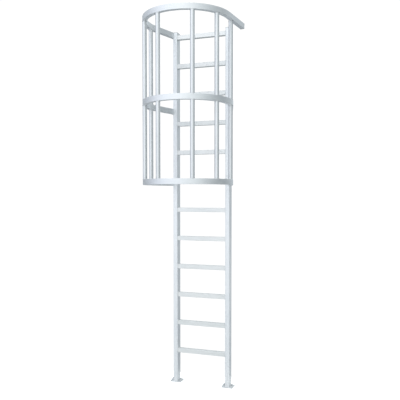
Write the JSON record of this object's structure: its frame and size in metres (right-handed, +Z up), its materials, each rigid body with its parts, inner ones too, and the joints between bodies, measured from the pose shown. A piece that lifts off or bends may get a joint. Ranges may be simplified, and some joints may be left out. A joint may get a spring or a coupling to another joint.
{
  "type": "caged ladder",
  "caption": "Fixed vertical ladder of rectangular tube with square rungs and a safety cage of bent flat-sided hoops and round upright tubes, on two foot plates.",
  "frame": {"origin": "centre of the underside of the left foot plate", "axes": "+Z up along the stiles, +X across the ladder from the left stile to the right one, +Y from the cage towards the wall"},
  "size_m": [0.8522, 0.853, 3.45],
  "materials": {
    "stile_aluminium": "satin",
    "rung_aluminium": "satin",
    "hoop_aluminium": "satin",
    "strut_aluminium": "satin",
    "foot_steel": "satin",
    "cap_plastic": "matte"
  },
  "bodies": {
    "root": {"stile_left": "stile_aluminium", "stile_cap_left": "cap_plastic", "foot_plate_left": "foot_steel", "stile_right": "stile_aluminium", "stile_cap_right": "cap_plastic", "foot_plate_right": "foot_steel", "rung_01": "rung_aluminium", "rung_02": "rung_aluminium", "rung_03": "rung_aluminium", "rung_04": "rung_aluminium", "rung_05": "rung_aluminium", "rung_06": "rung_aluminium", "rung_07": "rung_aluminium", "rung_08": "rung_aluminium", "rung_09": "rung_aluminium", "rung_10": "rung_aluminium", "rung_11": "rung_aluminium", "rung_12": "rung_aluminium", "hoop_bottom": "hoop_aluminium", "hoop_end_caps_bottom": "cap_plastic", "hoop_middle": "hoop_aluminium", "hoop_end_caps_middle": "cap_plastic", "hoop_top": "hoop_aluminium", "hoop_end_caps_top": "cap_plastic", "strut_lower_1": "strut_aluminium", "strut_lower_2": "strut_aluminium", "strut_lower_3": "strut_aluminium", "strut_lower_4": "strut_aluminium", "strut_lower_5": "strut_aluminium", "strut_lower_6": "strut_aluminium", "strut_upper_1": "strut_aluminium", "strut_upper_2": "strut_aluminium", "strut_upper_3": "strut_aluminium", "strut_upper_4": "strut_aluminium", "strut_upper_5": "strut_aluminium", "strut_upper_6": "strut_aluminium"}
  },
  "joints": []
}
